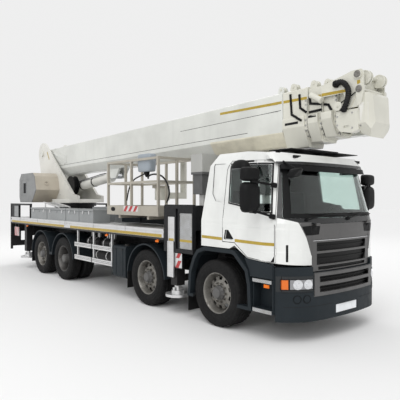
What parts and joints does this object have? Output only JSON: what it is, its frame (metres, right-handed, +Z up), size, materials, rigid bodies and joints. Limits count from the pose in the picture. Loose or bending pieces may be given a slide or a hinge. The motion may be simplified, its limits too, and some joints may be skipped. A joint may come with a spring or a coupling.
{
  "type": "truck-mounted aerial work platform",
  "caption": "Eight-wheel truck with a slewing turret, telescopic boom, folding jib, work cage, four outriggers, steered front axles and opening cab doors",
  "frame": {"origin": "centre of the footprint on the ground, midway between the boom head's nose and the tail lamps", "axes": "+X forward along the truck, +Y to the driver's left-hand side, +Z up"},
  "size_m": [11.4924, 3.28, 3.7774],
  "materials": {
    "white_paint": "gloss",
    "cream_paint": "gloss",
    "dark_paint": "satin",
    "slate_paint": "satin",
    "grey_paint": "satin",
    "aluminium": "brushed",
    "black_plastic": "matte",
    "seat_fabric": "matte",
    "clear_lens": "gloss",
    "glass": "gloss",
    "chrome": "gloss",
    "tyre": "matte",
    "cabinet_paint": "satin",
    "iron": "rough"
  },
  "bodies": {
    "truck": {"chassis_frame": "dark_paint", "axles": "iron", "engine_block": "iron", "cab_shell": "white_paint", "windscreen": "glass", "cab_interior": "seat_fabric", "sun_visor": "white_paint", "bumper": "slate_paint", "lamps": "clear_lens", "mudguards": "black_plastic", "deck": "aluminium", "slew_base": "dark_paint", "deck_boxes": "grey_paint", "side_tanks": "dark_paint", "side_guards": "aluminium", "rear_rack": "dark_paint", "outrigger_boxes": "dark_paint", "boom_rest": "grey_paint"},
    "front_lid": {"front_panel": "slate_paint"},
    "superstructure": {"turret": "white_paint", "turret_cabinet": "cabinet_paint", "hose_drum": "black_plastic"},
    "lift_cylinder": {"lift_barrel": "white_paint"},
    "lift_piston": {"lift_rod": "chrome"},
    "boom": {"boom_base": "white_paint"},
    "boom_stage_1": {"boom_section_1": "cream_paint"},
    "boom_stage_2": {"boom_section_2": "cream_paint"},
    "boom_stage_3": {"boom_section_3": "cream_paint"},
    "boom_stage_4": {"boom_section_4": "cream_paint", "boom_head": "cream_paint"},
    "jib_arm": {"jib": "white_paint"},
    "cage_arm": {"cage_mount": "cream_paint"},
    "work_cage": {"cage": "aluminium", "cage_console": "grey_paint"},
    "cab_door_right": {"door_right": "white_paint", "door_glass_right": "glass", "mirrors_right": "black_plastic"},
    "cab_door_left": {"door_left": "white_paint", "door_glass_left": "glass", "mirrors_left": "black_plastic"},
    "steering_knuckle_1_right": {"knuckle_1_right": "iron"},
    "steering_knuckle_1_left": {"knuckle_1_left": "iron"},
    "steering_knuckle_2_right": {"knuckle_2_right": "iron"},
    "steering_knuckle_2_left": {"knuckle_2_left": "iron"},
    "road_wheel_1_right": {"wheel_1_right": "tyre"},
    "road_wheel_1_left": {"wheel_1_left": "tyre"},
    "road_wheel_2_right": {"wheel_2_right": "tyre"},
    "road_wheel_2_left": {"wheel_2_left": "tyre"},
    "road_wheel_3_right": {"wheel_3_right": "tyre"},
    "road_wheel_3_left": {"wheel_3_left": "tyre"},
    "road_wheel_4_right": {"wheel_4_right": "tyre"},
    "road_wheel_4_left": {"wheel_4_left": "tyre"},
    "beam_front_right": {"outrigger_front_right": "dark_paint"},
    "foot_front_right": {"jack_front_right": "iron"},
    "beam_front_left": {"outrigger_front_left": "dark_paint"},
    "foot_front_left": {"jack_front_left": "iron"},
    "beam_rear_right": {"outrigger_rear_right": "dark_paint"},
    "foot_rear_right": {"jack_rear_right": "iron"},
    "beam_rear_left": {"outrigger_rear_left": "dark_paint"},
    "foot_rear_left": {"jack_rear_left": "iron"}
  },
  "joints": [
    {"name": "front_panel_lift", "type": "hinge", "parent": "truck", "child": "front_lid", "pos_m": [5.15378, 0, 1.636], "axis": [0, -1, 0], "range_deg": [0, 85]},
    {"name": "turret_slew", "type": "hinge", "parent": "truck", "child": "superstructure", "pos_m": [-3.84622, 0, 1.88], "axis": [0, 0, 1], "range_deg": [-180, 180]},
    {"name": "boom_luff", "type": "hinge", "parent": "superstructure", "child": "boom", "pos_m": [-5.24622, 0, 3.4], "axis": [0, -1, 0], "range_deg": [0, 78]},
    {"name": "lift_cylinder_swing", "type": "hinge", "parent": "superstructure", "child": "lift_cylinder", "pos_m": [-4.49622, 0, 2.235], "axis": [0, -1, 0], "range_deg": [0, 73.95]},
    {"name": "lift_cylinder_stroke", "type": "slide", "parent": "lift_cylinder", "child": "lift_piston", "axis": [0.9934, 0, 0.1151], "range_m": [0, 1.7257]},
    {"name": "boom_telescope_1", "type": "slide", "parent": "boom", "child": "boom_stage_1", "axis": [0.9999, 0, 0.0157], "range_m": [0, 8.4]},
    {"name": "boom_telescope_2", "type": "slide", "parent": "boom_stage_1", "child": "boom_stage_2", "axis": [0.9999, 0, 0.0157], "range_m": [0, 8.4]},
    {"name": "boom_telescope_3", "type": "slide", "parent": "boom_stage_2", "child": "boom_stage_3", "axis": [0.9999, 0, 0.0157], "range_m": [0, 8.4]},
    {"name": "boom_telescope_4", "type": "slide", "parent": "boom_stage_3", "child": "boom_stage_4", "axis": [0.9999, 0, 0.0157], "range_m": [0, 8.4]},
    {"name": "jib_fold", "type": "hinge", "parent": "boom_stage_4", "child": "jib_arm", "pos_m": [5.40378, 0, 3.06], "axis": [0, -1, 0], "range_deg": [0, 180]},
    {"name": "cage_levelling", "type": "hinge", "parent": "jib_arm", "child": "cage_arm", "pos_m": [0.59378, 0, 2.96], "axis": [0, 1, 0], "range_deg": [-5, 260]},
    {"name": "cage_swivel", "type": "hinge", "parent": "cage_arm", "child": "work_cage", "pos_m": [0.59378, -0.02, 1.96], "axis": [0, 0, -1], "range_deg": [-90, 90]},
    {"name": "door_right_swing", "type": "hinge", "parent": "truck", "child": "cab_door_right", "pos_m": [4.82378, -1.148, 1.5], "axis": [0, 0, 1], "range_deg": [0, 70]},
    {"name": "door_left_swing", "type": "hinge", "parent": "truck", "child": "cab_door_left", "pos_m": [4.82378, 1.148, 1.5], "axis": [0, 0, -1], "range_deg": [0, 70]},
    {"name": "steer_1_right", "type": "hinge", "parent": "truck", "child": "steering_knuckle_1_right", "pos_m": [3.65378, -0.905, 0.52], "axis": [0, 0, 1], "range_deg": [-36, 36]},
    {"name": "steer_1_left", "type": "hinge", "parent": "truck", "child": "steering_knuckle_1_left", "pos_m": [3.65378, 0.905, 0.52], "axis": [0, 0, 1], "range_deg": [-36, 36]},
    {"name": "steer_2_right", "type": "hinge", "parent": "truck", "child": "steering_knuckle_2_right", "pos_m": [1.71378, -0.905, 0.52], "axis": [0, 0, 1], "range_deg": [-25.92, 25.92]},
    {"name": "steer_2_left", "type": "hinge", "parent": "truck", "child": "steering_knuckle_2_left", "pos_m": [1.71378, 0.905, 0.52], "axis": [0, 0, 1], "range_deg": [-25.92, 25.92]},
    {"name": "wheel_1_right_spin", "type": "hinge", "parent": "steering_knuckle_1_right", "child": "road_wheel_1_right", "pos_m": [3.65378, -1, 0.52], "axis": [0, 1, 0], "continuous": true},
    {"name": "wheel_1_left_spin", "type": "hinge", "parent": "steering_knuckle_1_left", "child": "road_wheel_1_left", "pos_m": [3.65378, 1, 0.52], "axis": [0, 1, 0], "continuous": true},
    {"name": "wheel_2_right_spin", "type": "hinge", "parent": "steering_knuckle_2_right", "child": "road_wheel_2_right", "pos_m": [1.71378, -1, 0.52], "axis": [0, 1, 0], "continuous": true},
    {"name": "wheel_2_left_spin", "type": "hinge", "parent": "steering_knuckle_2_left", "child": "road_wheel_2_left", "pos_m": [1.71378, 1, 0.52], "axis": [0, 1, 0], "continuous": true},
    {"name": "wheel_3_right_spin", "type": "hinge", "parent": "truck", "child": "road_wheel_3_right", "pos_m": [-1.97622, -1, 0.52], "axis": [0, 1, 0], "continuous": true},
    {"name": "wheel_3_left_spin", "type": "hinge", "parent": "truck", "child": "road_wheel_3_left", "pos_m": [-1.97622, 1, 0.52], "axis": [0, 1, 0], "continuous": true},
    {"name": "wheel_4_right_spin", "type": "hinge", "parent": "truck", "child": "road_wheel_4_right", "pos_m": [-3.34622, -1, 0.52], "axis": [0, 1, 0], "continuous": true},
    {"name": "wheel_4_left_spin", "type": "hinge", "parent": "truck", "child": "road_wheel_4_left", "pos_m": [-3.34622, 1, 0.52], "axis": [0, 1, 0], "continuous": true},
    {"name": "outrigger_front_right_extend", "type": "slide", "parent": "truck", "child": "beam_front_right", "axis": [0, -1, 0], "range_m": [0, 1.3]},
    {"name": "jack_front_right_lower", "type": "slide", "parent": "beam_front_right", "child": "foot_front_right", "axis": [0, 0, -1], "range_m": [0, 0.42]},
    {"name": "outrigger_front_left_extend", "type": "slide", "parent": "truck", "child": "beam_front_left", "axis": [0, 1, 0], "range_m": [0, 1.3]},
    {"name": "jack_front_left_lower", "type": "slide", "parent": "beam_front_left", "child": "foot_front_left", "axis": [0, 0, -1], "range_m": [0, 0.42]},
    {"name": "outrigger_rear_right_extend", "type": "slide", "parent": "truck", "child": "beam_rear_right", "axis": [0, -1, 0], "range_m": [0, 1.2]},
    {"name": "jack_rear_right_lower", "type": "slide", "parent": "beam_rear_right", "child": "foot_rear_right", "axis": [0, 0, -1], "range_m": [0, 0.42]},
    {"name": "outrigger_rear_left_extend", "type": "slide", "parent": "truck", "child": "beam_rear_left", "axis": [0, 1, 0], "range_m": [0, 1.2]},
    {"name": "jack_rear_left_lower", "type": "slide", "parent": "beam_rear_left", "child": "foot_rear_left", "axis": [0, 0, -1], "range_m": [0, 0.42]}
  ],
  "couplings": [
    {"joint": "lift_cylinder_swing", "follows": "boom_luff", "ratio": 0.9417},
    {"joint": "lift_cylinder_stroke", "follows": "boom_luff", "m_per_rad": 1.2603},
    {"joint": "boom_telescope_1", "follows": "boom_luff", "m_per_rad": 0.7},
    {"joint": "boom_telescope_2", "follows": "boom_luff", "m_per_rad": 0.7},
    {"joint": "boom_telescope_3", "follows": "boom_luff", "m_per_rad": 0.7},
    {"joint": "boom_telescope_4", "follows": "boom_luff", "m_per_rad": 0.7},
    {"joint": "jib_fold", "follows": "boom_luff", "ratio": 0.3},
    {"joint": "cage_levelling", "follows": "boom_luff", "ratio": 1.3},
    {"joint": "cage_swivel", "follows": "boom_luff", "ratio": 0.5},
    {"joint": "steer_1_left", "follows": "steer_1_right", "ratio": 1},
    {"joint": "steer_2_right", "follows": "steer_1_right", "ratio": 0.72},
    {"joint": "steer_2_left", "follows": "steer_1_right", "ratio": 0.72}
  ]
}
